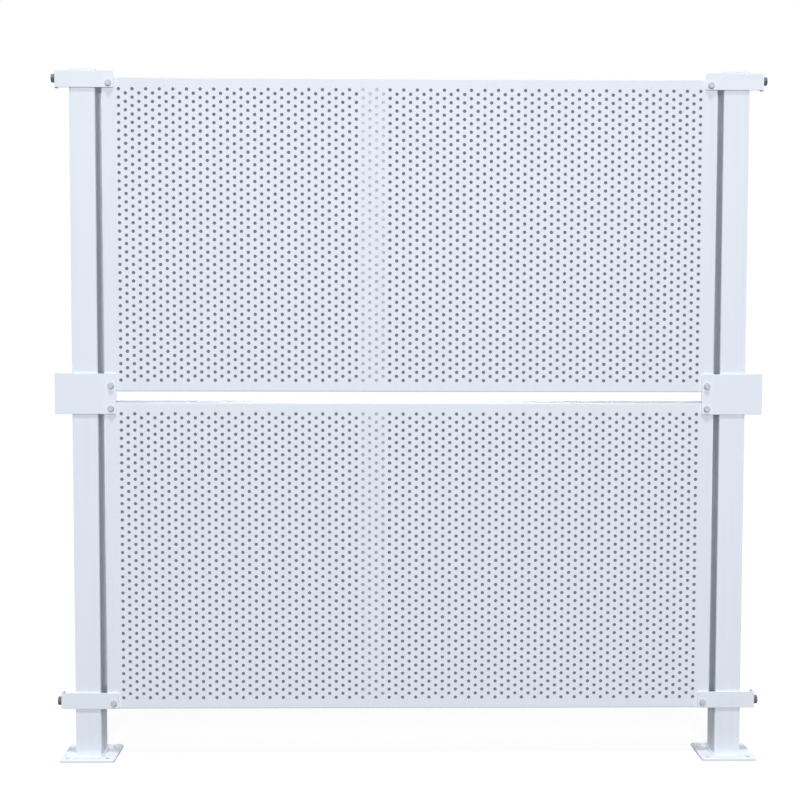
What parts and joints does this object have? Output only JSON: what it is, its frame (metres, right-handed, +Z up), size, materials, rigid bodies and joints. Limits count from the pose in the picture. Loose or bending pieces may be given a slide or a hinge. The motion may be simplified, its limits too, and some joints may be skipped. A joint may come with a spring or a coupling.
{
  "type": "perforated site hoarding bay",
  "caption": "Bay of construction site hoarding: closed perforated steel panels, one above the other, clamped flush between tubular posts on drilled base plates.",
  "frame": {"origin": "middle of the left base plate's underside, at ground level", "axes": "+X along the bay from the left post to the right post, +Y to the back of the hoarding, +Z up"},
  "size_m": [2.194, 0.17, 2.135],
  "materials": {
    "post_coat": "white powder coat, satin",
    "panel_coat": "white powder coat, satin",
    "clamp_coat": "white powder coat, satin",
    "bolt_steel": "black oxide",
    "zinc_steel": "zinc coated, dull",
    "absorber_fleece": "dark needled fleece, matt"
  },
  "bodies": {
    "root": {"left_base_plate": "post_coat", "right_base_plate": "post_coat", "left_post": "post_coat", "right_post": "post_coat", "left_post_cap": "post_coat", "right_post_cap": "post_coat", "left_top_clamp": "clamp_coat", "left_middle_clamp": "clamp_coat", "left_bottom_clamp": "clamp_coat", "right_top_clamp": "clamp_coat", "right_middle_clamp": "clamp_coat", "right_bottom_clamp": "clamp_coat", "left_top_rear_strap": "clamp_coat", "left_middle_rear_strap": "clamp_coat", "left_bottom_rear_strap": "clamp_coat", "right_top_rear_strap": "clamp_coat", "right_middle_rear_strap": "clamp_coat", "right_bottom_rear_strap": "clamp_coat", "left_top_set_bolt": "bolt_steel", "left_bottom_set_bolt": "bolt_steel", "right_top_set_bolt": "bolt_steel", "right_bottom_set_bolt": "bolt_steel", "lower_panel_face": "panel_coat", "upper_panel_face": "panel_coat", "lower_panel_back": "panel_coat", "upper_panel_back": "panel_coat", "lower_panel_rib": "zinc_steel", "upper_panel_rib": "zinc_steel", "lower_left_absorber": "absorber_fleece", "lower_right_absorber": "absorber_fleece", "upper_left_absorber": "absorber_fleece", "upper_right_absorber": "absorber_fleece"}
  },
  "joints": []
}
